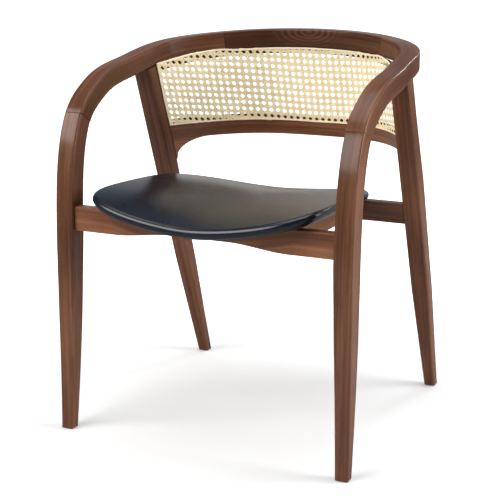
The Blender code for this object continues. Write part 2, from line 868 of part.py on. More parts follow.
def build_dowels():
    """Every joint of the frame is held by hidden dowels."""
    for side, word in sides():
        joint = (side * ring_path[0][0], joint_reach, joint_height)
        hosts = ("front_leg_" + word, "arm_" + word)
        dowel("arm_dowel_" + word, hosts, joint, joint_direction, dowel_length, dowel_radius)
        place = ring_path[ring_split]
        along = ring_directions[ring_split]
        at = (side * place[0], place[1], place[2])
        way = (side * along[0], along[1], along[2])
        hosts = ("arm_" + word, "crest_rail")
        dowel("crest_dowel_" + word, hosts, at, way, dowel_length, dowel_radius)
        top = rear_top_middle()
        lean = (0.0, -rear_slope, 1.0)
        hosts = ("rear_leg_" + word, "arm_" + word)
        dowel("rear_leg_dowel_" + word, hosts, (side * top.x, top.y, top.z), lean,
              dowel_length, dowel_radius)
        front_y = front_rail_setback + front_rail_thickness / 2
        front_z = (front_rail_top + front_rail_bottom) / 2
        for number, sign in enumerate((-1, 1)):
            z = front_z + sign * front_dowel_spread / 2
            hosts = ("front_leg_" + word, "front_rail")
            at = (side * (front_inner - gap / 2), front_y, z)
            name = "front_rail_dowel_" + word + "_" + "ab"[number]
            dowel(name, hosts, at, (-side, 0.0, 0.0), dowel_length, dowel_radius)
            z = (rear_rail_top + rear_rail_bottom) / 2 + sign * rear_dowel_spread / 2
            y = rear_front_y(z) + rear_rail_setback + rear_rail_thickness / 2
            hosts = ("rear_leg_" + word, "rear_rail")
            at = (side * (rear_inner - gap / 2), y, z)
            name = "rear_rail_dowel_" + word + "_" + "ab"[number]
            dowel(name, hosts, at, (-side, 0.0, 0.0), dowel_length, dowel_radius)
        z = back_edge_height - lower_rail_end_drop / 2
        depth = lower_rail_thickness / 2
        end = back_end(z, depth)
        place = back_place(end, z, depth)
        hosts = ("rear_leg_" + word, "lower_back_rail")
        dowel("back_rail_dowel_" + word, hosts, (side * place.x, place.y, z),
              (-side, -back_turn(end, z), 0.0), small_dowel_length, small_dowel_radius)


def rear_top_middle():
    """Middle of the rear leg's top, on the underside of the arm."""
    x = (rear_inner + rear_outer) / 2
    z = joint_height
    for _ in range(20):
        z = underside(x, rear_front_y(z) + rear_depth(z) / 2)
    return Vector((x, rear_front_y(z) + rear_depth(z) / 2, z))


def turned(name, profile, at, finish):
    """A solid of revolution about a vertical axis, from a profile that runs from top to bottom."""
    data = bmesh.new()
    points = [data.verts.new((radius, 0.0, z)) for radius, z in profile]
    for a, b in zip(points, points[1:]):
        data.edges.new((a, b))
    thing = mesh_object(name, data, finish)
    thing.location = at
    screw = thing.modifiers.new("turned", "SCREW")
    screw.axis = "Z"
    screw.steps = dowel_sides
    screw.render_steps = dowel_sides
    screw.use_merge_vertices = True
    screw.merge_threshold = merge_distance
    return thing


def build_glides():
    """A nailed glide under each foot."""
    feet = []
    for side, word in sides():
        x = side * (front_foot_inner + front_outer) / 2
        feet.append(("front_leg_" + word, x, front_foot_depth / 2))
        x = side * (rear_foot_inner + rear_foot_outer) / 2
        y = rear_front_y(glide_height) + rear_foot_depth / 2
        feet.append(("rear_leg_" + word, x, y))
    disc = glide_height - gap
    for leg, x, y in feet:
        profile = [
            (0.0, glide_stem_length),
            (glide_stem_radius, glide_stem_length),
            (glide_stem_radius, disc),
            (glide_radius, disc),
            (glide_radius, 0.0),
            (0.0, 0.0),
        ]
        turned(leg.replace("leg", "glide"), profile, (x, y, 0.0), dark_nylon)
        high = (x, y, glide_stem_length + gap)
        low = (x, y, glide_height - overrun)
        cut_bore(leg, leg + "_glide_bore", low, high, glide_stem_radius + gap)


def build_seat_fixings():
    """Screws up into the seat's shell, and dowels at the ends of the bearers."""
    for side, word in sides():
        x = side * front_screw_half
        y = front_rail_setback + front_rail_thickness / 2
        seat_screw("front_seat_screw_" + word, "front_rail", x, y, front_rail_low(x))
        x = side * (bearer_outer - bearer_thickness / 2)
        bearer = "seat_bearer_" + word
        seat_screw("rear_seat_screw_" + word, bearer, x, rear_screw_y, bearer_bottom)
        z = bearer_bottom + bearer_dowel_rise
        name = "bearer_dowel_" + word
        y = front_rail_setback + front_rail_thickness + gap / 2
        dowel(name + "_front", ("front_rail", bearer), (x, y, z), (0.0, 1.0, 0.0),
              small_dowel_length, small_dowel_radius)
        y = bearer_back(z) + gap / 2
        dowel(name + "_rear", (bearer, "rear_rail"), (x, y, z), (0.0, 1.0, 0.0),
              small_dowel_length, small_dowel_radius)


def seat_screw(name, host, x, y, low):
    """A screw from a rail's or bearer's underside into the seat shell."""
    seat = low + screw_head_depth
    under = saddle(x, y) - shell_drop
    top = under + screw_bite
    profile = [
        (0.0, top),
        (screw_radius, top - screw_radius),
        (screw_radius, seat),
        (screw_head_radius, seat),
        (screw_head_radius, seat - screw_head_height),
        (0.0, seat - screw_head_height),
    ]
    turned(name, profile, (x, y, 0.0), zinc_steel)
    wide = screw_head_radius + gap
    narrow = screw_radius + gap
    cut_bore(host, name + "_counterbore", (x, y, low - overrun), (x, y, seat + gap), wide)
    cut_bore(host, name + "_clearance", (x, y, seat), (x, y, top + overrun), narrow)
    cut_bore("seat_shell", name + "_pilot", (x, y, under - overrun), (x, y, top + gap), narrow)


ring_split = build_ring()
build_front_legs()
build_rear_legs()
build_seat()
build_front_rail()
build_rear_rail()
build_bearers()
build_lower_rail()
build_cane()
build_cane_edging()
build_dowels()
build_glides()
build_seat_fixings()
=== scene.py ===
import math

import bmesh
import bpy
import numpy as np
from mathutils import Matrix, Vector


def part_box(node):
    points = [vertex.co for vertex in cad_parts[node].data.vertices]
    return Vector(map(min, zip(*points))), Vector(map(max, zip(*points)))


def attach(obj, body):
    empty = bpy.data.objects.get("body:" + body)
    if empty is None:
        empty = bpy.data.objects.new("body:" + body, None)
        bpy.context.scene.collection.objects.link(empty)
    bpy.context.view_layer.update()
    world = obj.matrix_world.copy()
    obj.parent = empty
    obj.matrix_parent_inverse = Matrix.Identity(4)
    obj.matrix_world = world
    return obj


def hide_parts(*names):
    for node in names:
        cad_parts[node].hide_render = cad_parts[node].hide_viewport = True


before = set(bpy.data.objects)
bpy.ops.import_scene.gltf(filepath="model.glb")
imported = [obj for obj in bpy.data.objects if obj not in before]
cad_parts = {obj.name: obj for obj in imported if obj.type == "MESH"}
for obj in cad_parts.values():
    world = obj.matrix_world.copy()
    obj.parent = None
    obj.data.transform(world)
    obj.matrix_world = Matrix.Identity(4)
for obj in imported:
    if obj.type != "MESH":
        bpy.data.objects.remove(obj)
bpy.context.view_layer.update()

# Shared sizes, in metres
gap = 0.0003
edge_radius = 0.0034
joint_chamfer = 0.0002             # at the ends of a bar, which shows as the line of a joint
corner_steps = 4
sharp_angle = math.radians(50)     # edges sharper than this show as edges
leg_rounds = 12                    # steps that find where a rear leg meets the ring
back_rounds = 8                    # the same for a layer of the back
halving_rounds = 26                # and for the end of a layer at a rear leg

# Ring of arms and crest
ring_half_width = 0.2733           # middle of the bar, at the arms
ring_back = 0.5125                 # middle of the bar, at the crest
ring_top = 0.7247
bar_width = 0.0354
bar_height = 0.0362
joint_height = 0.585               # middle of the joint between leg and arm
joint_reach = 0.0634
joint_bar_height = 0.0379
joint_slope = math.radians(59)
ring_x_shares = (0.997, 1.0, 0.9912, 0.9246, 0.5708, 0.0)
ring_y_shares = (0.0, 0.1372, 0.4155, 0.6938, 0.9203, 1.0)
ring_rise_shares = (0.0, 0.3947, 0.6563, 0.8396, 0.9523, 1.0)
crest_half_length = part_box("crest_rail")[1].x
ring_stations = 161
curve_steps = 40                   # between two of the ring's given points

# Front legs
glide_height = 0.0015
front_inner = 0.2542
front_outer = 0.2902
front_foot_inner = 0.2660
front_foot_depth = 0.021
front_leg_bow = 0.0255
front_leg_bow_height = 0.33
front_leg_bend = 0.110
front_taper_top = 0.375
front_height_shares = (0.0, 0.15, 0.39, 0.60, 0.85, 1.0)
front_depth_shares = (0.0, 0.37, 0.93, 1.11, 1.05, 1.0)
front_stations = 90

# Rear legs
rear_inner = 0.2480
rear_outer = 0.2832
rear_foot_inner = 0.2545
rear_foot_outer = 0.2762
rear_foot_front = 0.5259
rear_foot_depth = 0.0221
rear_knee_depth = 0.0385
rear_slope = math.tan(math.radians(20.8))  # how far the legs lean back
rear_taper_top = 0.230
rear_height_shares = (0.0, 0.14, 0.47, 0.72, 0.79, 0.9, 1.0)
rear_depth_shares = (0.0, 0.085, 0.48, 0.91, 1.0, 0.8, 0.63)
rear_stations = 60

# Seat
seat_half_width = 0.2125
seat_front = -0.0227
seat_back = 0.358007
seat_front_square = 5.27           # exponent of the outline: 2 is an ellipse
seat_back_square = 3.81
seat_taper_share = 0.0187          # wider in front, narrower behind
seat_height = 0.4191               # saddle surface in the middle of the seat
seat_side_rise = 0.0288
seat_side_power = 1.73
seat_front_side_rise = 0.0098
seat_back_rise = 0.0019
seat_end_fall = 0.0043
seat_spokes = 240
seat_corner_share = 0.5            # how much the spokes crowd round the corners
seat_rings = 40
seat_centre_share = 0.02           # size of the innermost ring
edge_roll = 0.0095                 # radius of the roll
roll_steps = 18
cover_thickness = 0.0014
crown_height = 0.0150
crown_power = 2.4
lip_turn = math.pi * 0.9           # how far the leather's inner side follows the roll
shell_drop = 0.0114                # the shell's lower rim, below the saddle surface
shell_thickness = 0.0075

# Rails
front_rail_setback = 0.0150
front_rail_thickness = 0.0220
front_rail_top = 0.4288
front_rail_bottom = 0.3840
front_rail_arch = 0.0099
front_rail_arch_near = 0.055
front_rail_arch_far = 0.170
rear_rail_top = 0.4125
rear_rail_bottom = 0.3700
rear_rail_setback = 0.0010
rear_rail_thickness = 0.0220
bearer_outer = 0.16501
bearer_thickness = 0.0200
bearer_bottom = 0.3870
bearer_top = 0.4300
bearer_end_top = 0.4106
bearer_slope_length = 0.0800
rail_stations = 101

# Lower back rail and the back surface
back_end_y = 0.3595                # at the legs, at the height of the cane's lower edge
back_mid_y = 0.5401
back_edge_height = 0.5322
back_end_slope = 0.41
back_mid_slope = 0.29
back_square = 3.2                  # exponent of the bend across the back
lower_rail_height = 0.0300
lower_rail_thickness = 0.0220
lower_rail_end_drop = 0.0430
lower_rail_end_reach = 0.0450
back_stations = 141

# Woven cane: sizes of the sheet and of its strands
cane_thickness = 0.0018
cane_pitch = 0.0140                # from hole to hole
pair_spread = 0.0033               # between the two strands of a pair
strand_width = 0.0029
diagonal_width = 0.0029
strand_thickness = 0.0005
weave_rise = 0.00030               # how far a strand swings over and under the others
diagonal_rise = 0.00052
samples_per_pitch = 6
row_bow = 0.0260                   # how far the rows of holes bow down in the middle
row_bow_power = 1.8
row_start = -0.0009
back_clearance = 0.0007            # between the back's filling and the ring above it
reed_width = 0.0036
reed_thickness = 0.0016
reed_lift = 0.0052                 # the most that cane and reed rise past the ring's rounded edge
reed_lift_slope = 6.0
lift_window = 5                    # stations each way over which the lift is evened out
edging_width = 0.0120
edging_depth = 0.0100
border_steps = 24
border_radii = {"cane_edging": 0.0008, "cane_reed": 0.0007}  # radius of the strips' long edges

# Derived sizes
seat_middle_y = (seat_front + seat_back) / 2
seat_half_depth = (seat_back - seat_front) / 2
seat_reach = seat_front - edge_roll
shell_edge = cover_thickness + gap
crest_height = ring_top - bar_height / 2
back_reach = back_mid_y + back_mid_slope * lower_rail_height + lower_rail_thickness
chair_middle_y = (back_reach + seat_reach) / 2


def table(shares, values, at):
    return float(np.interp(at, shares, values))


def mirror(points):
    return [(-x, y, z) for x, y, z in points]


# Node-building helpers
class Nodes:
    """Adds nodes to a material or a world and links them in one call each."""

    def __init__(self, owner):
        owner.use_nodes = True
        self.owner = owner
        self.tree = owner.node_tree

    def put(self, socket, value):
        if isinstance(value, bpy.types.NodeSocket):
            self.tree.links.new(value, socket)
        else:
            socket.default_value = value

    def node(self, kind, inputs=None, **settings):
        made = self.tree.nodes.new(kind)
        for key, value in settings.items():
            setattr(made, key, value)
        for key, value in (inputs or {}).items():
            self.put(made.inputs[key], value)
        return made

    def grain(self):
        return self.node("ShaderNodeAttribute", attribute_name="grain").outputs["Vector"]

    def place(self, kind="Object"):
        return self.node("ShaderNodeTexCoord").outputs[kind]

    def length(self, vector):
        made = self.node("ShaderNodeVectorMath", operation="LENGTH")
        self.put(made.inputs[0], vector)
        return made.outputs["Value"]

    def scaled(self, vector, scale, offset=(0.0, 0.0, 0.0)):
        made = self.node("ShaderNodeMapping", {"Vector": vector, "Scale": scale, "Location": offset})
        return made.outputs["Vector"]

    def noise(self, vector, scale, detail, rough=0.55, distortion=0.0):
        inputs = {"Vector": vector, "Scale": scale, "Detail": detail, "Roughness": rough}
        inputs["Distortion"] = distortion
        return self.node("ShaderNodeTexNoise", inputs).outputs["Fac"]

    def ramp(self, factor, stops):
        made = self.node("ShaderNodeValToRGB", {"Fac": factor})
        elements = made.color_ramp.elements
        elements[0].position, elements[0].color = stops[0][0], (*stops[0][1], 1.0)
        elements[1].position, elements[1].color = stops[-1][0], (*stops[-1][1], 1.0)
        for place, colour in stops[1:-1]:
            elements.new(place).color = (*colour, 1.0)
        return made.outputs["Color"]

    def grey(self, factor, low, high, dark=0.0, light=1.0):
        made = self.node(
            "ShaderNodeMapRange",
            {"Value": factor, "From Min": low, "From Max": high, "To Min": dark, "To Max": light},
        )
        return made.outputs["Result"]

    def math(self, operation, a, b=0.0):
        made = self.node("ShaderNodeMath", operation=operation)
        self.put(made.inputs[0], a)
        self.put(made.inputs[1], b)
        return made.outputs["Value"]

    def mix(self, factor, a, b):
        made = self.node("ShaderNodeMix", data_type="RGBA")
        self.put(made.inputs["Factor"], factor)
        self.put(made.inputs[6], a)
        self.put(made.inputs[7], b)
        return made.outputs[2]

    def bump(self, height, strength, distance):
        inputs = {"Height": height, "Strength": strength, "Distance": distance}
        return self.node("ShaderNodeBump", inputs).outputs["Normal"]

    def finish(self, **sockets):
        shader = self.tree.nodes["Principled BSDF"]
        for key, value in sockets.items():
            self.put(shader.inputs[key.replace("_", " ")], value)
        return self.owner


def wood_material(name, dark, middle, light, figure=None):
    """Stained ash: fine straight growth bands, dark pores along the grain and a satin finish. A figure
    adds nested ovals where the board was cut flat to the rings: its middle and its half sizes."""
    n = Nodes(bpy.data.materials.new(name))
    grain = n.grain()
    warp = n.noise(n.scaled(grain, (5.0, 22.0, 22.0)), 1.0, 3.0)
    bands = n.noise(n.scaled(grain, (2.4, 190.0, 190.0)), 1.0, 3.0, 0.5, 0.25)
    broad = n.noise(n.scaled(grain, (3.0, 18.0, 18.0), (3.1, 0.7, 1.9)), 1.0, 2.0)
    fibres = n.noise(n.scaled(grain, (28.0, 1500.0, 1500.0)), 1.0, 3.0, 0.6)
    pores = n.noise(n.scaled(grain, (60.0, 2600.0, 2600.0)), 1.0, 2.0, 0.5)
    pore_mask = n.math("MULTIPLY", n.grey(pores, 0.56, 0.70), n.grey(bands, 0.42, 0.62))
    tone = n.math("ADD", n.math("MULTIPLY", bands, 0.45), n.math("MULTIPLY", broad, 0.50))
    tone = n.math("ADD", tone, n.math("MULTIPLY", warp, 0.22))
    tone = n.math("ADD", tone, n.math("MULTIPLY", fibres, 0.25))
    colour = n.ramp(tone, [(0.54, dark), (0.71, middle), (0.88, light)])
    pore_colour = (*[c * 0.35 for c in dark], 1.0)
    colour = n.mix(n.math("MULTIPLY", pore_mask, 0.5), colour, pore_colour)
    if figure:
        middle_place, half_sizes = figure
        scale = [1 / half for half in half_sizes]
        offset = [-place / half for place, half in zip(middle_place, half_sizes)]
        away = n.length(n.scaled(grain, scale, offset))
        away = n.math("ADD", away, n.math("MULTIPLY", warp, 0.35))
        lines = n.math("SINE", n.math("MULTIPLY", away, 30.0))
        fade = n.grey(away, 0.9, 1.45, 0.50, 0.0)
        mask = n.math("MULTIPLY", n.grey(lines, -0.3, 0.9), fade)
        colour = n.mix(mask, colour, (*[c * 1.25 for c in light], 1.0))
    rough = n.grey(fibres, 0.3, 0.7, 0.31, 0.44)
    relief = n.math("SUBTRACT", n.math("MULTIPLY", fibres, 0.4), pore_mask)
    normal = n.bump(relief, 0.20, 0.0003)
    return n.finish(
        Base_Color=colour, Roughness=rough, Normal=normal, Specular_IOR_Level=0.06,
        Coat_Weight=0.28, Coat_Roughness=0.16,
    )


def leather_material():
    """Smooth black leather with a blue cast: fine pebbled grain, faint cloudiness, a satin coat."""
    n = Nodes(bpy.data.materials.new("seat_leather"))
    place = n.place()
    pebbles = n.node("ShaderNodeTexVoronoi", {"Vector": place, "Scale": 900.0}).outputs["Distance"]
    fine = n.noise(place, 1400.0, 3.0)
    cloud = n.noise(place, 9.0, 3.0)
    colour = n.ramp(cloud, [(0.3, (0.0026, 0.0040, 0.0085)), (0.7, (0.0042, 0.0062, 0.0120))])
    rough = n.math("ADD", n.grey(cloud, 0.3, 0.7, 0.23, 0.26), n.grey(fine, 0.3, 0.7, 0.0, 0.03))
    relief = n.math("ADD", pebbles, n.math("MULTIPLY", fine, 0.5))
    normal = n.bump(relief, 0.08, 0.0002)
    return n.finish(Base_Color=colour, Roughness=rough, Normal=normal, Specular_IOR_Level=0.40)


def cane_material(name, dark, middle, light):
    """Split cane: pale skin with fine fibres along each strand, a tone of its own per strand, and a
    little light let through from behind."""
    n = Nodes(bpy.data.materials.new(name))
    grain = n.grain()
    fibres = n.noise(n.scaled(grain, (60.0, 5000.0, 5000.0)), 1.0, 2.0)
    patches = n.noise(n.scaled(grain, (24.0, 300.0, 300.0)), 1.0, 2.0)
    tone = n.math("ADD", n.math("MULTIPLY", fibres, 0.3), n.math("MULTIPLY", patches, 0.7))
    colour = n.ramp(tone, [(0.30, dark), (0.50, middle), (0.70, light)])
    normal = n.bump(fibres, 0.15, 0.0002)
    return n.finish(
        Base_Color=colour, Roughness=0.45, Normal=normal, Specular_IOR_Level=0.4,
        Subsurface_Weight=0.3, Subsurface_Scale=0.001, Subsurface_Radius=(1.0, 0.8, 0.6),
    )


def plywood_material():
    """Moulded plywood in a very dark brown: straight open grain from front to back, and thin layers at
    its edge.
    """
    n = Nodes(bpy.data.materials.new("seat_plywood"))
    place = n.place()
    bands = n.noise(n.scaled(place, (160.0, 3.0, 160.0)), 1.0, 3.0, 0.5, 0.2)
    fibres = n.noise(n.scaled(place, (1500.0, 24.0, 1500.0)), 1.0, 3.0, 0.6)
    tone = n.math("ADD", n.math("MULTIPLY", bands, 0.8), n.math("MULTIPLY", fibres, 0.3))
    colour = n.ramp(tone, [(0.35, (0.016, 0.010, 0.008)), (0.75, (0.045, 0.026, 0.018))])
    normal = n.bump(fibres, 0.2, 0.0003)
    return n.finish(Base_Color=colour, Roughness=0.5, Normal=normal)


def plain_material(name, colour, rough, scale, metallic=0.0, spread=0.25):
    """A mottled surface for small fittings: colour, roughness and relief vary with a fine noise."""
    n = Nodes(bpy.data.materials.new(name))
    place = n.place()
    speckle = n.noise(place, scale, 4.0)
    dark = tuple(c * (1 - spread) for c in colour)
    light = tuple(min(1.0, c * (1 + spread)) for c in colour)
    tint = n.ramp(speckle, [(0.3, dark), (0.7, light)])
    roughness = n.grey(speckle, 0.3, 0.7, rough - 0.06, rough + 0.06)
    normal = n.bump(speckle, 0.15, 0.0003)
    return n.finish(Base_Color=tint, Roughness=roughness, Metallic=metallic, Normal=normal)


# Linear colours, dark to light
wood_tones = ((0.048, 0.0180, 0.0086), (0.098, 0.0383, 0.0190), (0.168, 0.0740, 0.0400))
cane_tones = ((0.88, 0.66, 0.37), (0.97, 0.79, 0.50), (0.99, 0.88, 0.64))
reed_tones = ((0.84, 0.68, 0.46), (0.93, 0.79, 0.58), (0.97, 0.87, 0.70))
# Darker crest and rear rail: at the crest partly its plank's own tone and partly painted shade, at the
# rear rail painted shade under the seat
crest_tone_and_shade_share = 0.60
# Lighter front rail and lower back rail: painted light
rail_painted_light_share = 1.55
crest_figure = ((0.190, 0.0354, 0.005), (0.066, 0.60, 0.026))  # along, across and down the bar


def toned(share):
    """Wood tones scaled by a share, for painted light and shade: lighter where a piece is painted as
    lit, darker where it is painted as shaded, which at the crest is partly its plank's own tone too.
    """
    return [tuple(c * share for c in tone) for tone in wood_tones]


frame_wood = wood_material("frame_wood", *wood_tones)
# Darker wood for the crest and the rear rail, with painted shade
crest_tone_and_shade_wood = wood_material("crest_tone_and_shade_wood", *toned(crest_tone_and_shade_share), figure=crest_figure)
# Lighter wood for the front rail and the lower back rail, with painted light
rail_wood = wood_material("rail_wood", *toned(rail_painted_light_share))
seat_leather = leather_material()
cane = cane_material("woven_cane", *cane_tones)
reed = cane_material("reed_border", *reed_tones)
seat_plywood = plywood_material()
small_finishes = {
    "foam": plain_material("cut_foam", (0.78, 0.72, 0.52), 0.95, 900.0),
    "dowel": plain_material("raw_beech", (0.60, 0.43, 0.27), 0.70, 350.0),
    "screw": plain_material("zinc_plate", (0.60, 0.58, 0.54), 0.35, 700.0, 1.0, 0.1),
    "glide": plain_material("black_nylon", (0.02, 0.02, 0.02), 0.55, 800.0),
}


# Meshes from rings of points
def mesh_piece(name, points, faces, material, grain=None):
    mesh = bpy.data.meshes.new(name)
    mesh.from_pydata([tuple(p) for p in points], [], faces)
    mesh.update()
    if grain is not None:
        layer = mesh.attributes.new("grain", "FLOAT_VECTOR", "POINT")
        layer.data.foreach_set("vector", np.asarray(grain, np.float32).ravel())
    mesh.materials.append(material)
    mesh.shade_smooth()
    thing = bpy.data.objects.new(name, mesh)
    bpy.context.scene.collection.objects.link(thing)
    thing.location = (0.0, -chair_middle_y, 0.0)
    return thing


def dress(piece, slot, *nodes):
    """The piece rides on the chair and stands for its CAD nodes."""
    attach(piece, "root")
    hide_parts(*nodes)
    return piece


def ring_faces(rows, count):
    """Quads between closed rings of points, numbered ring by ring."""
    faces = []
    for r in range(rows - 1):
        for k in range(count):
            n = (k + 1) % count
            faces.append((r * count + k, r * count + n, (r + 1) * count + n, (r + 1) * count + k))
    return faces


def section_places(width, height, radius, margin):
    """Points round a rounded rectangle, as distances from its first corner, shrunk by a margin."""
    places = []
    turns = ((radius, radius, 180), (width - radius, radius, 270))
    turns += ((width - radius, height - radius, 0), (radius, height - radius, 90))
    for across, up, start in turns:
        for k in range(corner_steps + 1):
            angle = math.radians(start + 90 * k / corner_steps)
            u = across + radius * math.cos(angle)
            v = up + radius * math.sin(angle)
            u = margin + u * (width - 2 * margin) / width
            v = margin + v * (height - 2 * margin) / height
            places.append((u, v))
    return places


def rounded_bar(name, rings, material, radius=edge_radius, grain_offset=0.0, chamfer=joint_chamfer):
    """A solid bar through rings of four corners, with rounded long edges and softened ends. The
    grain's offset gives each bar a stretch of grain of its own."""
    rings = [np.array(ring, float) for ring in rings]
    if chamfer:
        start = (rings[1] - rings[0]) / np.linalg.norm((rings[1] - rings[0]).mean(0)) * chamfer
        stop = (rings[-2] - rings[-1]) / np.linalg.norm((rings[-2] - rings[-1]).mean(0)) * chamfer
        rings = [rings[0], rings[0] + start] + rings[1:-1] + [rings[-1] + stop, rings[-1]]
    points = []
    grain = []
    length = 0.0
    for k, ring in enumerate(rings):
        if k:
            length += np.linalg.norm(ring.mean(0) - rings[k - 1].mean(0))
        width = np.linalg.norm(ring[1] - ring[0])
        height = np.linalg.norm(ring[3] - ring[0])
        margin = chamfer if k in (0, len(rings) - 1) else 0.0
        for u, v in section_places(width, height, min(radius, width / 2, height / 2), margin):
            a, b = u / width, v / height
            near = ring[0] * (1 - a) + ring[1] * a
            far = ring[3] * (1 - a) + ring[2] * a
            points.append(near * (1 - b) + far * b)
            grain.append((length + grain_offset, u + grain_offset * 0.37, v + grain_offset * 0.61))
    count = 4 * (corner_steps + 1)
    faces = ring_faces(len(rings), count)
    faces.append(tuple(reversed(range(count))))
    faces.append(tuple(range((len(rings) - 1) * count, len(rings) * count)))
    thing = mesh_piece(name, points, faces, material, grain)
    tidy_normals(thing)
    return thing


def tidy_normals(thing):
    """Faces point outward, and flats stay flat beside their rounded edges."""
    data = bmesh.new()
    data.from_mesh(thing.data)
    bmesh.ops.recalc_face_normals(data, faces=data.faces)
    data.to_mesh(thing.data)
    data.free()
    thing.data.set_sharp_from_angle(angle=sharp_angle)
    weighted = thing.modifiers.new("weighted_normals", "WEIGHTED_NORMAL")
    weighted.keep_sharp = True


def both_sides(name, rings, material, offset, **options):
    """A bar on the right and its mirror image on the left, each with its own grain."""
    right = rounded_bar(name + "_right_wood", rings, material, grain_offset=offset, **options)
    left_rings = [mirror(ring) for ring in rings]
    left = rounded_bar(name + "_left_wood", left_rings, material, grain_offset=offset + 0.53, **options)
    dress(right, "frame_wood", name + "_right")
    dress(left, "frame_wood", name + "_left")


# Ring of arms and crest
def smooth_path(points, start, end, count):
    """Points at even steps along a cubic curve through the given points, and their directions."""
    knots = [Vector(point) for point in points]
    spans = [(b - a).length for a, b in zip(knots, knots[1:])]
    slopes = [Vector(start)]
    for i in range(1, len(knots) - 1):
        before = (knots[i] - knots[i - 1]) / spans[i - 1]
        after = (knots[i + 1] - knots[i]) / spans[i]
        slopes.append((before * spans[i] + after * spans[i - 1]) / (spans[i] + spans[i - 1]))
    slopes.append(Vector(end))
    fine = []
    for i, span in enumerate(spans):
        for k in range(curve_steps):
            t = k / curve_steps
            place = knots[i] * (2 * t**3 - 3 * t**2 + 1)
            place = place + slopes[i] * ((t**3 - 2 * t**2 + t) * span)
            place = place + knots[i + 1] * (-2 * t**3 + 3 * t**2)
            place = place + slopes[i + 1] * ((t**3 - t**2) * span)
            fine.append(place)
    fine.append(knots[-1])
    array = np.array([tuple(point) for point in fine])
    lengths = np.concatenate(([0.0], np.cumsum(np.linalg.norm(np.diff(array, axis=0), axis=1))))
    even = np.linspace(0.0, lengths[-1], count)
    path = np.stack([np.interp(even, lengths, array[:, axis]) for axis in range(3)], axis=1)
    directions = np.gradient(path, axis=0)
    directions /= np.linalg.norm(directions, axis=1)[:, None]
    directions[0] = np.array(start)
    directions[-1] = np.array(end)
    return path, directions, even


joint_direction = (0.0, math.cos(joint_slope), math.sin(joint_slope))
knots = []
for x_share, y_share, rise_share in zip(ring_x_shares, ring_y_shares, ring_rise_shares):
    knots.append(
        (
            ring_half_width * x_share,
            joint_reach + (ring_back - joint_reach) * y_share,
            joint_height + (crest_height - joint_height) * rise_share,
        )
    )
crest_direction = (-1.0, 0.0, 0.0)
ring_path, ring_directions, ring_lengths = smooth_path(
    knots, joint_direction, crest_direction, ring_stations
)


def ring_frame(index):
    along = Vector(ring_directions[index])
    outward = Vector((along.y, -along.x, 0.0)).normalized()
    upward = outward.cross(along).normalized()
    return outward, upward if upward.z > 0 else -upward


def ring_bar_height(index):
    share = math.exp(-((ring_lengths[index] / front_leg_bend) ** 2))
    return bar_height + (joint_bar_height - bar_height) * share


def ring_section(place, index):
    outward, upward = ring_frame(index)
    side = outward * (bar_width / 2)
    rise = upward * (ring_bar_height(index) / 2)
    middle = Vector(place)
    corners = (middle + side + rise, middle - side + rise, middle - side - rise, middle + side - rise)
    return [tuple(corner) for corner in corners]


ring_base = []
for index in range(ring_stations):
    base = Vector(ring_path[index]) - ring_frame(index)[1] * (ring_bar_height(index) / 2)
    ring_base.append(tuple(base))
ring_base = np.array(ring_base)


def underside(x, y):
    """Height of the ring's underside above a place on the floor, for x at or above zero, and how far
    the place is inward from the middle of the ring."""
    ahead = (x - ring_base[:, 0]) * ring_directions[:, 0] + (y - ring_base[:, 1]) * ring_directions[:, 1]
    i = int(np.flatnonzero((ahead[:-1] > 0) & (ahead[1:] <= 0))[-1])
    share = ahead[i] / (ahead[i] - ahead[i + 1])
    base = ring_base[i] + (ring_base[i + 1] - ring_base[i]) * share
    return base[2], math.hypot(base[0] - x, base[1] - y)


def edge_lift(inward):
    """How far a thin strip may rise past the ring's rounded inner edge."""
    start = bar_width / 2 - edge_radius
    if inward < start:
        return 0.0
    if inward < bar_width / 2:
        return edge_radius - math.sqrt(edge_radius**2 - (inward - start) ** 2)
    return min(reed_lift, edge_radius + reed_lift_slope * (inward - bar_width / 2))


def build_ring():
    split = int(np.argmax(ring_path[:, 0] < crest_half_length))
    arm = [ring_section(ring_path[0] + ring_directions[0] * gap, 0)]
    arm += [ring_section(ring_path[i], i) for i in range(1, split)]
    arm.append(ring_section(ring_path[split] - ring_directions[split] * gap, split))
    both_sides("arm", arm, frame_wood, 1.0)
    half = [ring_section(ring_path[i], i) for i in range(split, ring_stations - 1)]
    middle = [ring_section(ring_path[-1], ring_stations - 1)]
    other = [mirror(ring) for ring in reversed(half)]
    # The crest takes the darker wood: partly its plank's own tone, partly painted shade
    crest = rounded_bar("crest_bar_wood", half + middle + other, crest_tone_and_shade_wood)
    dress(crest, "frame_wood", "crest_rail")


# Legs
def front_leg_middle(t):
    foot = Vector((0.0, front_foot_depth / 2, glide_height))
    swing = Vector((0.0, front_foot_depth / 2 + front_leg_bow, front_leg_bow_height))
    top = Vector((0.0, joint_reach, joint_height))
    bend = top - Vector(joint_direction) * front_leg_bend
    return foot * (1 - t) ** 3 + swing * 3 * t * (1 - t) ** 2 + bend * 3 * t**2 * (1 - t) + top * t**3


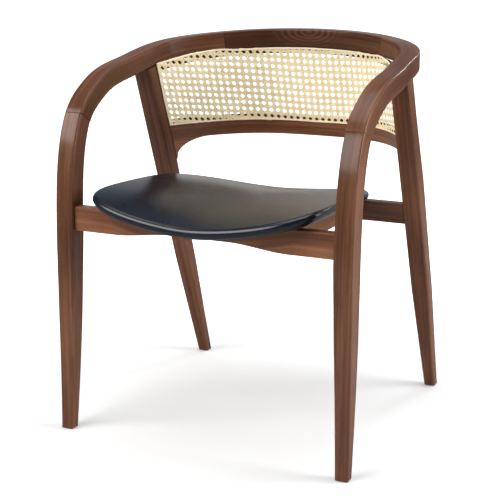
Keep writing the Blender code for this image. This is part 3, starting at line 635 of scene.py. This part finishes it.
def build_front_legs():
    rings = []
    step = 1.0 / front_stations / 4
    for k in range(front_stations + 1):
        t = k / front_stations
        middle = front_leg_middle(t)
        ahead = front_leg_middle(min(1.0, t + step)) - front_leg_middle(max(0.0, t - step))
        along = ahead.normalized()
        if k == 0:
            along = Vector((0.0, 0.0, 1.0))
        if k == front_stations:
            along = Vector(joint_direction)
            middle = middle - along * gap
        back = Vector((0.0, along.z, -along.y))
        share = table(front_height_shares, front_depth_shares, middle.z / joint_height)
        depth = front_foot_depth + (joint_bar_height - front_foot_depth) * share
        drop = max(0.0, 1.0 - middle.z / front_taper_top)
        inner = front_inner + (front_foot_inner - front_inner) * drop
        widening = table((0.0, front_taper_top, joint_height), (0.0, 0.0, 1.0), middle.z)
        inner += (ring_half_width - bar_width / 2 - front_inner) * widening
        front = middle - back * (depth / 2)
        rear = middle + back * (depth / 2)
        ring = [(front_outer, front.y, front.z), (inner, front.y, front.z)]
        ring += [(inner, rear.y, rear.z), (front_outer, rear.y, rear.z)]
        rings.append(ring)
    both_sides("front_leg", rings, frame_wood, 7.0)


def rear_front_y(z):
    return rear_foot_front - rear_slope * z


def rear_depth(z):
    share = table(rear_height_shares, rear_depth_shares, z / joint_height)
    return rear_foot_depth + (rear_knee_depth - rear_foot_depth) * share


def build_rear_legs():
    rings = []
    for k in range(rear_stations + 1):
        z = glide_height + (joint_height - glide_height) * k / rear_stations
        depth = rear_depth(z)
        drop = max(0.0, 1.0 - z / rear_taper_top)
        inner = rear_inner + (rear_foot_inner - rear_inner) * drop
        outer = rear_outer + (rear_foot_outer - rear_outer) * drop
        front = rear_front_y(z)
        back = front + depth
        rings.append([(outer, front, z), (inner, front, z), (inner, back, z), (outer, back, z)])
    top = []
    for x, y, z in rings[-1]:
        height = z
        for _ in range(leg_rounds):
            height = underside(x, y - rear_slope * (height - z))[0] - gap
        top.append((x, y - rear_slope * (height - z), height))
    rings.append(top)
    both_sides("rear_leg", rings, frame_wood, 11.0, chamfer=0.0)


# Rails and bearers under the seat
def in_plan(x, y):
    """Whether a place lies under the seat."""
    v = (y - seat_middle_y) / seat_half_depth
    square = seat_back_square if v > 0 else seat_front_square
    u = x / (seat_half_width * (1 - seat_taper_share * v))
    return abs(u) ** square + abs(v) ** square < 1


def saddle(x, y):
    """Height of the saddle surface, which is high at the sides."""
    v = (y - seat_middle_y) / seat_half_depth
    u = np.abs(x) / (seat_half_width * (1 - seat_taper_share * v))
    rise = (seat_side_rise - seat_front_side_rise * v) * u**seat_side_power
    return seat_height + rise + seat_back_rise * v - seat_end_fall * v**2


def under_seat(x, y, top):
    """Height of a rail's top, hollowed where the seat rests on it."""
    if not in_plan(x, y):
        return top
    return min(top, saddle(x, y) - shell_drop - 2 * gap)


def front_rail_low(x):
    """Height of the rail's underside, which is arched in the middle."""
    share = (abs(x) - front_rail_arch_near) / (front_rail_arch_far - front_rail_arch_near)
    share = min(1.0, max(0.0, share))
    return front_rail_bottom + front_rail_arch * (1 - share**2 * (3 - 2 * share))


def build_rails():
    near = front_rail_setback
    far = near + front_rail_thickness
    half = front_inner - gap
    rings = []
    for k in range(rail_stations):
        x = half * (2 * k / (rail_stations - 1) - 1)
        low = front_rail_low(x)
        ring = [(x, near, under_seat(x, near, front_rail_top)), (x, near, low)]
        ring += [(x, far, low), (x, far, under_seat(x, far, front_rail_top))]
        rings.append(ring)
    # The front rail takes the lighter wood: painted light
    front = rounded_bar("front_rail_wood", rings, rail_wood, edge_radius / 2, 14.0)
    dress(front, "frame_wood", "front_rail")
    rings = []
    half = rear_inner - gap
    for k in range(rail_stations):
        x = half * (2 * k / (rail_stations - 1) - 1)
        ring = []
        corners = ((rear_rail_top, 0), (rear_rail_bottom, 0), (rear_rail_bottom, 1), (rear_rail_top, 1))
        for z, step in corners:
            ring.append((x, rear_front_y(z) + rear_rail_setback + rear_rail_thickness * step, z))
        rings.append(ring)
    # The rear rail takes the darker wood: painted shade under the seat
    rear = rounded_bar("rear_rail_wood", rings, crest_tone_and_shade_wood, edge_radius / 2, 17.0)
    dress(rear, "frame_wood", "rear_rail")


def build_bearers():
    front = front_rail_setback + front_rail_thickness + gap
    inner = bearer_outer - bearer_thickness
    end_low = rear_front_y(bearer_bottom) + rear_rail_setback - gap
    end_high = rear_front_y(bearer_end_top) + rear_rail_setback - gap
    slope_start = (end_high - bearer_slope_length - front) / (end_high - front)
    rings = []
    for k in range(rail_stations):
        share = k / (rail_stations - 1)
        low_y = front + (end_low - front) * share
        high_y = front + (end_high - front) * share
        top = table((0.0, slope_start, 1.0), (bearer_top, bearer_top, bearer_end_top), share)
        ring = [(bearer_outer, high_y, under_seat(bearer_outer, high_y, top))]
        ring += [(bearer_outer, low_y, bearer_bottom), (inner, low_y, bearer_bottom)]
        ring.append((inner, high_y, under_seat(inner, high_y, top)))
        rings.append(ring)
    both_sides("seat_bearer", rings, frame_wood, 31.0, radius=edge_radius / 2)


# Lower back rail
def back_line(z):
    rise = z - back_edge_height
    return back_mid_y - back_mid_slope * rise, back_end_y - back_end_slope * rise


def back_y(x, z):
    middle, end = back_line(z)
    return middle + (end - middle) * (abs(x) / rear_inner) ** back_square


def back_turn(x, z):
    """Slope of the back surface across, seen from above."""
    middle, end = back_line(z)
    steepness = (end - middle) * back_square / rear_inner * (abs(x) / rear_inner) ** (back_square - 1)
    return steepness if x > 0 else -steepness


def back_place(x, z, depth):
    """A point behind the back surface by a depth, or in front of it where that is negative."""
    turn = back_turn(x, z)
    run = math.hypot(1.0, turn)
    return (x - turn / run * depth, back_y(x, z) + depth / run, z)


def back_end(z, depth):
    """Where a layer of the back meets the back face of a rear leg."""
    low = rear_inner / 2
    high = rear_outer
    face = rear_front_y(z) + rear_depth(z) + gap
    for _ in range(halving_rounds):
        middle = (low + high) / 2
        if back_place(middle, z, depth)[1] > face:
            low = middle
        else:
            high = middle
    return low


def layer_point(share, z, depth):
    """A point of a layer by its share of the way from the middle to a leg."""
    return back_place(back_end(z, depth) * share, z, depth)


def back_shares(count):
    """Shares at even steps along the cane's lower edge, and its length."""
    fine = np.linspace(-1.0, 1.0, 401)
    line = np.array([layer_point(share, back_edge_height, 0.0) for share in fine])
    lengths = np.concatenate(([0.0], np.cumsum(np.linalg.norm(np.diff(line, axis=0), axis=1))))
    return np.interp(np.linspace(0.0, lengths[-1], count), lengths, fine), lengths[-1]


even_shares, back_length = back_shares(back_stations)


def back_bar(name, low, high, near, far, material, radius, offset):
    """A bar across the back, between two edges and two depths."""
    rings = []
    for share in even_shares:
        ring = []
        for height, depth in ((high, near), (low, near), (low, far), (high, far)):
            ring.append(layer_point(share, height(share, depth), depth))
        rings.append(ring)
    return rounded_bar(name, rings, material, radius, offset)


def level(height):
    """An edge that stays at one height."""
    return lambda share, depth: height


def lower_rail_bottom(share, depth):
    straight = rear_inner - lower_rail_end_reach
    out = max(0.0, (abs(share) * rear_inner - straight) / lower_rail_end_reach)
    drop = lower_rail_end_drop * (1 - math.sqrt(max(0.0, 1 - min(1.0, out) ** 2)))
    return back_edge_height - lower_rail_height - drop


def under_ring(share, depth):
    """Height at which a layer meets the ring from below, and how far a thin strip may rise past it."""
    z = crest_height - bar_height / 2
    for _ in range(back_rounds):
        x, y, _ = layer_point(share, z, depth)
        height, inward = underside(abs(x), y)
        z = height - back_clearance
    return z, edge_lift(inward)


def smooth_lifts(depth):
    """Lifts along the back that change slowly and pass none of the sharp ones."""
    sharp = np.array([under_ring(share, depth)[1] for share in even_shares])
    padded = np.pad(sharp, lift_window, mode="edge")
    low = np.array([padded[k:k + 2 * lift_window + 1].min() for k in range(back_stations)])
    padded = np.pad(low, lift_window, mode="edge")
    weights = np.hanning(2 * lift_window + 3)[1:-1]
    return np.convolve(padded, weights / weights.sum(), mode="valid")


lifts = smooth_lifts(cane_thickness / 2)


def back_top(share, depth, lifted):
    """Upper edge of a layer. Lifted, it rises beside the ring's rounded inner edge."""
    height = under_ring(share, depth)[0]
    return height + float(np.interp(share, even_shares, lifts)) if lifted else height


# Woven cane, on the bent sheet that the back surface makes
sheet_columns = 121
sheet_rows = 41
sheet_shares = np.interp(
    np.linspace(0.0, 1.0, sheet_columns), np.linspace(0.0, 1.0, back_stations), even_shares
)
sheet_heights = np.linspace(back_edge_height, ring_top, sheet_rows)


def sheet_grid():
    """Points of the front surface over even steps across and up."""
    grid = np.zeros((sheet_columns, sheet_rows, 3))
    for j, z in enumerate(sheet_heights):
        end = back_end(z, 0.0)
        for i, share in enumerate(sheet_shares):
            grid[i, j] = (end * share, back_y(end * share, z), z)
    return grid


sheet = sheet_grid()
sheet_across = np.gradient(sheet, axis=0)
sheet_up = np.gradient(sheet, axis=1)
sheet_normals = np.cross(sheet_across, sheet_up)
sheet_normals /= np.linalg.norm(sheet_normals, axis=2)[..., None]
top_heights = np.array([back_top(s, cane_thickness / 2, True) for s in sheet_shares])
slants = np.linalg.norm(np.diff(sheet, axis=1), axis=2).sum(1) / (ring_top - back_edge_height)


def lookup(array, a, b):
    """Bilinear lookup at fractional column a and row b."""
    a = np.clip(a, 0, array.shape[0] - 1.001)
    b = np.clip(b, 0, array.shape[1] - 1.001)
    i = a.astype(int)
    j = b.astype(int)
    s = (a - i)[:, None]
    t = (b - j)[:, None]
    low = array[i, j] * (1 - s) + array[i + 1, j] * s
    high = array[i, j + 1] * (1 - s) + array[i + 1, j + 1] * s
    return low * (1 - t) + high * t


def on_sheet(across, up, rise):
    """Places on the bent sheet. Across runs from one end of it, and up from its lowest row, which
    bows down in the middle because a straight weave is bent round a back that leans."""
    column = across / back_length * (sheet_columns - 1)
    offset = row_bow * np.abs(2 * across / back_length - 1) ** row_bow_power + row_start
    slant = np.interp(column, np.arange(sheet_columns), slants)
    z = back_edge_height + (up + offset) / slant
    row = (z - back_edge_height) / (ring_top - back_edge_height) * (sheet_rows - 1)
    points = lookup(sheet, column, row) + lookup(sheet_normals, column, row) * rise[:, None]
    top = np.interp(column, np.arange(sheet_columns), top_heights)
    inside = (z > back_edge_height + gap) & (z < top) & (across > 0) & (across < back_length)
    return points, inside


def strand(across, up, rise, width, number):
    """A flat split strand along a line on the sheet, cut off where it leaves the sheet."""
    points, inside = on_sheet(across, up, rise)
    runs = []
    start = None
    for k, good in enumerate(inside):
        if good and start is None:
            start = k
        if start is not None and (not good or k == len(inside) - 1):
            if k - start > 2:
                runs.append((start, k))
            start = None
    pieces = []
    for first, last in runs:
        line = points[first:last]
        ahead = np.gradient(line, axis=0)
        ahead /= np.linalg.norm(ahead, axis=1)[:, None]
        column = across[first:last] / back_length * (sheet_columns - 1)
        out = lookup(sheet_normals, column, np.full(len(column), sheet_rows / 3))
        side = np.cross(ahead, out)
        side /= np.linalg.norm(side, axis=1)[:, None]
        edge = side * (width / 2)
        thick = out * (strand_thickness / 2)
        shoulder = side * (width * 0.30)
        ring = [line + edge, line + shoulder + thick, line - shoulder + thick, line - edge, line - thick]
        travelled = np.arange(len(line)) * cane_pitch / samples_per_pitch
        pieces.append((np.stack(ring, axis=1), travelled, number))
    return pieces


def strands():
    """Upright pairs, level pairs, and diagonals both ways that cross between the holes."""
    step = cane_pitch / samples_per_pitch
    columns = int(back_length / cane_pitch) + 1
    first = (back_length - (columns - 1) * cane_pitch) / 2
    rows = int((ring_top - back_edge_height) * 1.1 / cane_pitch) + 2
    tall = np.arange(-4 * cane_pitch, rows * cane_pitch, step)
    long = np.arange(0.0, back_length + step, step)
    found = []
    number = 0
    for i in range(columns):
        for side in (-1, 1):
            number += 1
            across = np.full(len(tall), first + i * cane_pitch + side * pair_spread / 2)
            rise = weave_rise * side * np.cos(np.pi * tall / cane_pitch)
            found += strand(across, tall, rise, strand_width, number)
    for j in range(-4, rows):
        for side in (-1, 1):
            number += 1
            up = np.full(len(long), j * cane_pitch + side * pair_spread / 2)
            rise = -weave_rise * side * np.cos(np.pi * (long - first) / cane_pitch)
            found += strand(long, up, rise, strand_width, number)
    for k in range(-rows - 4, columns + rows + 4):
        for side in (-1, 1):
            number += 1
            across = first + (k + 0.5) * cane_pitch + side * tall
            rise = side * diagonal_rise * np.cos(2 * np.pi * (across - first) / cane_pitch)
            found += strand(across, tall, rise, diagonal_width, number)
    return found


def build_cane():
    points = []
    faces = []
    grain = []
    for rings, travelled, number in strands():
        base = len(points)
        rows, count = rings.shape[:2]
        points.extend(rings.reshape(-1, 3).tolist())
        tone = (number * 0.618) % 1.0
        for length in travelled:
            for k in range(count):
                grain.append((length + tone * 9.0, tone * 0.7 + k * 0.0004, tone * 0.3))
        faces += [tuple(base + n for n in face) for face in ring_faces(rows, count)]
        faces.append(tuple(base + n for n in range(count)))
        faces.append(tuple(base + (rows - 1) * count + n for n in reversed(range(count))))
    weave = mesh_piece("woven_cane", points, faces, cane, grain)
    dress(weave, "cane", "cane_panel")


def build_border(name, width, near, thickness, material, slot, offset):
    """Four strips round the cane, in front of it or behind it."""
    radius = border_radii[name]
    far = near + thickness
    low = back_edge_height + gap
    lifted = near < 0

    def high(share, depth):
        return min(back_top(share, near, lifted), back_top(share, far, lifted))

    def under(share, depth):
        return high(share, depth) - width

    edges = (("top", under, high), ("bottom", level(low), level(low + width)))
    for step, (word, lower, upper) in enumerate(edges):
        strip_name = name + "_" + word + "_strip"
        strip = back_bar(strip_name, lower, upper, near, far, material, radius, offset + step)
        dress(strip, slot, name + "_" + word)
    highest = min(under(1.0, near), under(1.0 - width / rear_inner, near)) - gap
    for side, word in ((-1, "left"), (1, "right")):
        rings = []
        for k in range(border_steps + 1):
            z = low + width + gap + (highest - low - width - gap) * k / border_steps
            ring = []
            for inward, depth in ((0.0, near), (width, near), (width, far), (0.0, far)):
                end = back_end(z, depth)
                x = end - inward / math.hypot(1.0, back_turn(end, z))
                place = back_place(x, z, depth)
                ring.append((side * place[0], place[1], z))
            rings.append(ring)
        strip_name = name + "_" + word + "_strip"
        strip = rounded_bar(strip_name, rings, material, radius, offset + 2 + side)
        dress(strip, slot, name + "_" + word)


def build_back():
    # The lower back rail takes the lighter wood: painted light
    rail = back_bar(
        "lower_rail_wood", lower_rail_bottom, level(back_edge_height - gap), 0.0,
        lower_rail_thickness, rail_wood, edge_radius / 2, 20.0,
    )
    dress(rail, "frame_wood", "lower_back_rail")
    build_cane()
    behind = cane_thickness + gap
    before = -gap - reed_thickness
    build_border("cane_edging", edging_width, behind, edging_depth, frame_wood, "frame_wood", 23.0)
    build_border("cane_reed", reed_width, before, reed_thickness, reed, "reed", 27.0)


# Seat
def outline_shares():
    """Places round the seat, from its front middle on, as shares of its half width and depth."""
    angles = np.linspace(-math.pi / 2, 3 * math.pi / 2, 4001)
    c = np.cos(angles)
    s = np.sin(angles)
    power = np.where(s > 0, 2 / seat_back_square, 2 / seat_front_square)
    u = np.sign(c) * np.abs(c) ** power
    v = np.sign(s) * np.abs(s) ** power
    steps = np.hypot(seat_half_width * np.diff(u), seat_half_depth * np.diff(v))
    lengths = np.concatenate(([0.0], np.cumsum(steps)))
    turns = np.linspace(0.0, 1.0, len(angles))
    places = lengths / lengths[-1] * (1 - seat_corner_share) + turns * seat_corner_share
    even = np.arange(seat_spokes) / seat_spokes
    return np.interp(even, places, u), np.interp(even, places, v)


spoke_u, spoke_v = outline_shares()


def cover_top(share):
    """Height of the crowned leather above the saddle surface."""
    return edge_roll + crown_height * (1 - share**crown_power)


def saddle_piece(name, rings, material):
    """A closed form through rings of (inset from the outline, share of it, height)."""
    points = []
    for inset, share, height in rings:
        x = (seat_half_width - inset) * share * spoke_u * (1 - seat_taper_share * spoke_v)
        y = seat_middle_y + (seat_half_depth - inset) * share * spoke_v
        points.extend(np.stack([x, y, saddle(x, y) + height], axis=1).tolist())
    faces = ring_faces(len(rings), seat_spokes)
    faces.append(tuple(range(seat_spokes)))
    last = (len(rings) - 1) * seat_spokes
    faces.append(tuple(reversed(range(last, last + seat_spokes))))
    thing = mesh_piece(name, points, faces, material)
    tidy_normals(thing)
    return thing


def roll_rings(radius, stop):
    """Rings round the roll, from its top until it has turned by the stop angle."""
    rings = []
    for k in range(1, roll_steps + 1):
        angle = stop * k / roll_steps
        rings.append((-radius * math.sin(angle), 1.0, radius * math.cos(angle)))
    return rings


def shell_layer(shares, lift):
    """One side of the shell, which lies inside the leather at its rim."""
    return [(shell_edge if share == 1.0 else 0.0, share, lift - shell_drop) for share in shares]


def build_seat():
    centre = seat_centre_share
    shares = [centre + (1 - centre) * k / seat_rings for k in range(seat_rings + 1)]
    skin = cover_thickness
    outer = [(0.0, share, cover_top(share)) for share in shares] + roll_rings(edge_roll, math.pi)
    lip = [(skin, 1.0, -edge_roll)]
    lip += reversed(roll_rings(edge_roll - skin, lip_turn))
    lip += [(0.0, share, cover_top(share) - skin) for share in reversed(shares)]
    cover = saddle_piece("seat_cover_leather", outer + lip, seat_leather)
    dress(cover, "seat_leather", "seat_cover")
    layers = shell_layer(shares, 0.0) + shell_layer(list(reversed(shares)), shell_thickness)
    shell = saddle_piece("seat_shell_plywood", layers, seat_plywood)
    dress(shell, "seat_plywood", "seat_shell")


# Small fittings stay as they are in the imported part, with their finishes
def finish_fittings():
    for name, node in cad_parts.items():
        for word, material in small_finishes.items():
            if word in name:
                node.data.materials.clear()
                node.data.materials.append(material)


# Studio: camera, floor, lights
photo_focal = 1249.95
photo_size = 500.0
photo_centre_drop = -0.93
photo_centre_shift = -0.5
camera_azimuth = 0.44965
camera_elevation = 0.24004
camera_place = (0.99782, -1.84501 - chair_middle_y, 0.89255)
camera_sensor = 36.0
floor_half_size = 40.0
floor_mirrored = 0.34              # white of the floor in reflections
floor_seen = 0.62                  # to the camera
floor_bounce = 0.85                # and for the light that it throws on the chair
# The floor's glow is low near the chair and rises away from it: painted shade round the chair, besides
# the lamps' shadows
floor_glow = 0.165                 # light of its own, for the camera alone
floor_far_glow = 1.2
floor_painted_shade_fade = (0.46, 1.10)          # from where to where the shade turns to plain white
world_tint = (0.93, 0.96, 1.0)
world_light = 0.24
backdrop_light = 1.1
glossy_heights = (0.0, 0.10, 0.28, 0.55, 1.0)
glossy_tones = (
    (1.25, 1.20, 1.13), (0.82, 0.78, 0.74), (0.32, 0.34, 0.39), (0.17, 0.21, 0.27), (0.17, 0.21, 0.27),
)
wall_fade = (-0.1, 0.5, 0.25, 1.0)
light_aim = (0.0, 0.0, 0.4)
studio_lights = (
    ("key", (-1.25, -1.95, 1.95), (2.0, 1.4), 80.0, (1.0, 0.985, 0.96)),
    ("top", (0.1, 0.1, 3.0), (2.4, 2.4), 58.0, (1.0, 1.0, 1.0)),
    ("back", (0.9, 2.6, 1.9), (0.6, 0.4), 16.0, (1.0, 0.99, 0.97)),
    ("right", (2.2, 0.5, 1.1), (1.2, 1.4), 62.0, (1.0, 1.0, 1.0)),
)


def build_camera():
    camera = bpy.data.cameras.new("photo_camera")
    camera.sensor_width = camera_sensor
    camera.lens = camera.sensor_width * photo_focal / photo_size
    camera.shift_x = photo_centre_shift / photo_size
    camera.shift_y = photo_centre_drop / photo_size
    view = bpy.data.objects.new("photo_camera", camera)
    view.location = camera_place
    view.rotation_euler = (math.pi / 2 - camera_elevation, 0.0, camera_azimuth)
    bpy.context.scene.collection.objects.link(view)
    bpy.context.scene.camera = view


def build_floor():
    """A white floor, a little darker to the camera, with painted shade round the chair: its own glow is
    low near the chair and turns to plain white away from it.
    """
    size = floor_half_size
    mesh = bpy.data.meshes.new("studio_floor")
    corners = [(-size, -size, 0.0), (size, -size, 0.0), (size, size, 0.0), (-size, size, 0.0)]
    mesh.from_pydata(corners, [], [(0, 1, 2, 3)])
    n = Nodes(bpy.data.materials.new("studio_floor"))
    # Glow by distance from the chair: painted shade near it
    glow = n.grey(n.length(n.place()), *floor_painted_shade_fade, floor_glow, floor_far_glow)
    path = n.node("ShaderNodeLightPath").outputs
    seen = path["Is Camera Ray"]
    bounced = n.grey(path["Is Diffuse Ray"], 0.0, 1.0, floor_mirrored, floor_bounce)
    white = n.math("ADD", bounced, n.math("MULTIPLY", seen, floor_seen - floor_mirrored))
    n.finish(
        Base_Color=white, Roughness=0.9,
        Emission_Color=(1.0, 1.0, 1.0, 1.0), Emission_Strength=n.math("MULTIPLY", seen, glow),
    )
    mesh.materials.append(n.owner)
    floor = bpy.data.objects.new("studio_floor", mesh)
    bpy.context.scene.collection.objects.link(floor)


def area_light(name, place, size, power, colour):
    light = bpy.data.lights.new(name, "AREA")
    light.shape = "RECTANGLE"
    light.size, light.size_y = size
    light.energy = power
    light.color = colour
    thing = bpy.data.objects.new(name, light)
    thing.location = place
    aim = Vector(light_aim) - Vector(place)
    thing.rotation_euler = aim.to_track_quat("-Z", "Y").to_euler()
    bpy.context.scene.collection.objects.link(thing)


def build_world():
    """White for the camera and a dim room as a source of light. Reflections see a pale wall low
    down at the back, a dark ceiling, and a dark room at the front."""
    n = Nodes(bpy.data.worlds.new("studio"))
    apart = n.node("ShaderNodeSeparateXYZ", {"Vector": n.place("Generated")}).outputs
    path = n.node("ShaderNodeLightPath").outputs
    room = n.tree.nodes["Background"]
    n.put(room.inputs["Color"], (*world_tint, 1.0))
    n.put(room.inputs["Strength"], world_light)
    tones = n.ramp(apart["Z"], list(zip(glossy_heights, glossy_tones)))
    wall = n.grey(apart["Y"], *wall_fade)
    mirrored = n.node("ShaderNodeBackground", {"Color": tones, "Strength": wall})
    white = {"Color": (1.0, 1.0, 1.0, 1.0), "Strength": backdrop_light}
    plain = n.node("ShaderNodeBackground", white)
    shader = room.outputs["Background"]
    for ray, other in (("Is Glossy Ray", mirrored), ("Is Camera Ray", plain)):
        inputs = {"Fac": path[ray], 1: shader, 2: other.outputs["Background"]}
        shader = n.node("ShaderNodeMixShader", inputs).outputs["Shader"]
    n.put(n.tree.nodes["World Output"].inputs["Surface"], shader)
    bpy.context.scene.world = n.owner


def build_studio():
    build_camera()
    build_floor()
    build_world()
    for settings in studio_lights:
        area_light(*settings)
    bpy.context.scene.view_settings.view_transform = "Standard"


build_ring()
build_front_legs()
build_rear_legs()
build_rails()
build_bearers()
build_back()
build_seat()
finish_fittings()
build_studio()
